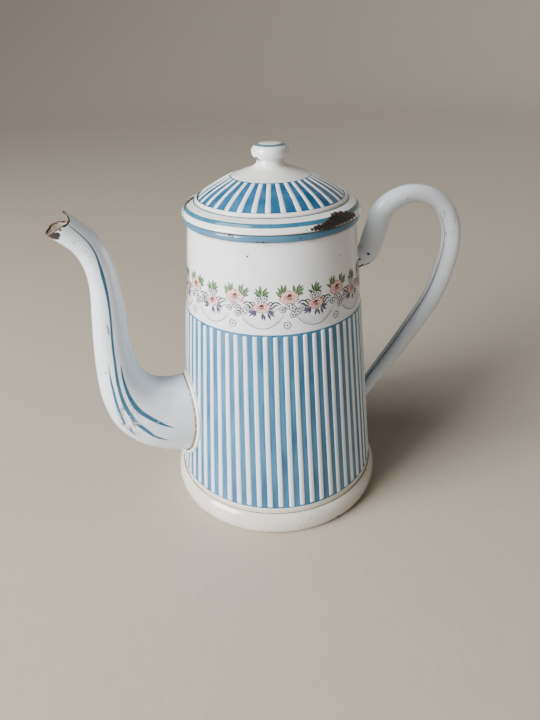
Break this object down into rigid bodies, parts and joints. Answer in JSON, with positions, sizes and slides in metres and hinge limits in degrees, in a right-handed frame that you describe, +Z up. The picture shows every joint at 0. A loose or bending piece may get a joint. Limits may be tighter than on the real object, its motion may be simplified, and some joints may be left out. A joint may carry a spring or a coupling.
{
  "type": "enamelled coffee pot",
  "caption": "Tapered enamelled steel coffee pot with a gooseneck spout, high loop handle, ribbed decoration, floral band and lift-off domed lid.",
  "frame": {"origin": "centre of the ring that the pot stands on, on the table", "axes": "+Z up along the pot's axis, -X towards the spout, +X towards the handle"},
  "size_m": [0.2762, 0.152, 0.243],
  "materials": {
    "enamel_white": "gloss",
    "enamel_cream": "gloss",
    "enamel_blue": "gloss",
    "bare_steel": "satin"
  },
  "bodies": {
    "pot": {"body_wall": "enamel_white", "rim_wire": "bare_steel", "foot_ring": "enamel_cream", "bottom_plate": "enamel_white", "spout_left_half": "enamel_white", "spout_right_half": "enamel_white", "spout_collar": "enamel_cream", "handle_tube": "enamel_white"},
    "lid": {"lid_dome": "enamel_blue", "lid_flange": "enamel_white", "knob_cup": "enamel_white", "knob_cap": "enamel_blue", "knob_rivet": "bare_steel"}
  },
  "joints": [
    {"name": "lid_lift", "type": "slide", "parent": "pot", "child": "lid", "axis": [0, 0, 1], "range_m": [0, 0.06]}
  ]
}
